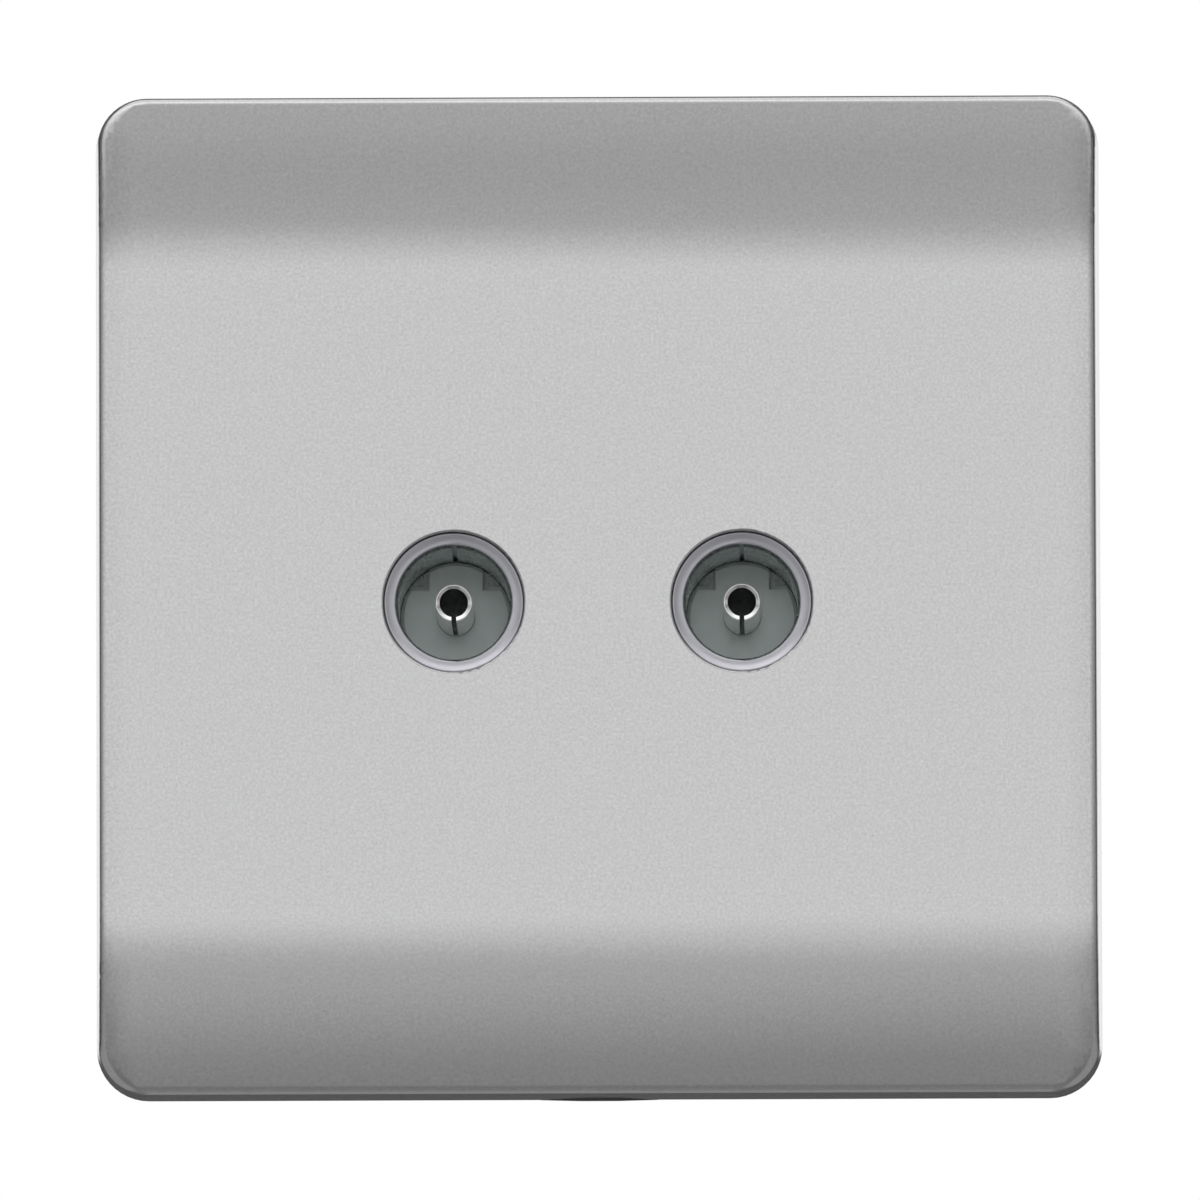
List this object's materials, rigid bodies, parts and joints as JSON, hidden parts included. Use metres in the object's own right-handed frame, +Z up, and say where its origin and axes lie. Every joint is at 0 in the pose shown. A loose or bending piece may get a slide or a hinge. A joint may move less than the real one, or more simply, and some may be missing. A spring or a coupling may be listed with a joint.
{
  "type": "twin tv aerial socket",
  "caption": "Square screwless wall plate with a flat panel between curved bands and female coaxial aerial sockets side by side, on a base plate with cable clamps behind.",
  "frame": {"origin": "midway between the two wall fixings, at the wall plane", "axes": "+X to the right as seen from the room, +Y into the wall, +Z up; the face looks along -Y"},
  "size_m": [0.086, 0.0294, 0.0861],
  "materials": {
    "plate_silver": "satin",
    "base_plastic": "matte",
    "nickel_plate": "satin",
    "sleeve_metal": "satin",
    "contact_plate": "polished",
    "insulator_plastic": "matte",
    "terminal_brass": "satin",
    "frame_steel": "satin",
    "screw_steel": "satin"
  },
  "bodies": {
    "base": {"base_plate": "base_plastic", "left_socket_body": "nickel_plate", "left_contact_sleeve": "sleeve_metal", "left_insulator": "insulator_plastic", "left_centre_contact": "contact_plate", "left_terminal_block": "terminal_brass", "left_earth_frame": "frame_steel", "left_frame_screws": "screw_steel", "right_socket_body": "nickel_plate", "right_contact_sleeve": "sleeve_metal", "right_insulator": "insulator_plastic", "right_centre_contact": "contact_plate", "right_terminal_block": "terminal_brass", "right_earth_frame": "frame_steel", "right_frame_screws": "screw_steel"},
    "cover": {"front_plate": "plate_silver"},
    "left_clamp": {"left_cable_saddle": "frame_steel", "left_saddle_screws": "screw_steel"},
    "left_core_screw": {"left_terminal_screw": "screw_steel"},
    "right_clamp": {"right_cable_saddle": "frame_steel", "right_saddle_screws": "screw_steel"},
    "right_core_screw": {"right_terminal_screw": "screw_steel"}
  },
  "joints": [
    {"name": "cover_pull", "type": "slide", "parent": "base", "child": "cover", "axis": [0, -1, 0], "range_m": [0, 0.012]},
    {"name": "left_clamp_travel", "type": "slide", "parent": "base", "child": "left_clamp", "axis": [0, 1, 0], "range_m": [0, 0.003]},
    {"name": "left_core_screw_travel", "type": "slide", "parent": "base", "child": "left_core_screw", "axis": [0, 1, 0], "range_m": [-0.001, 0.0012]},
    {"name": "right_clamp_travel", "type": "slide", "parent": "base", "child": "right_clamp", "axis": [0, 1, 0], "range_m": [0, 0.003]},
    {"name": "right_core_screw_travel", "type": "slide", "parent": "base", "child": "right_core_screw", "axis": [0, 1, 0], "range_m": [-0.001, 0.0012]}
  ]
}
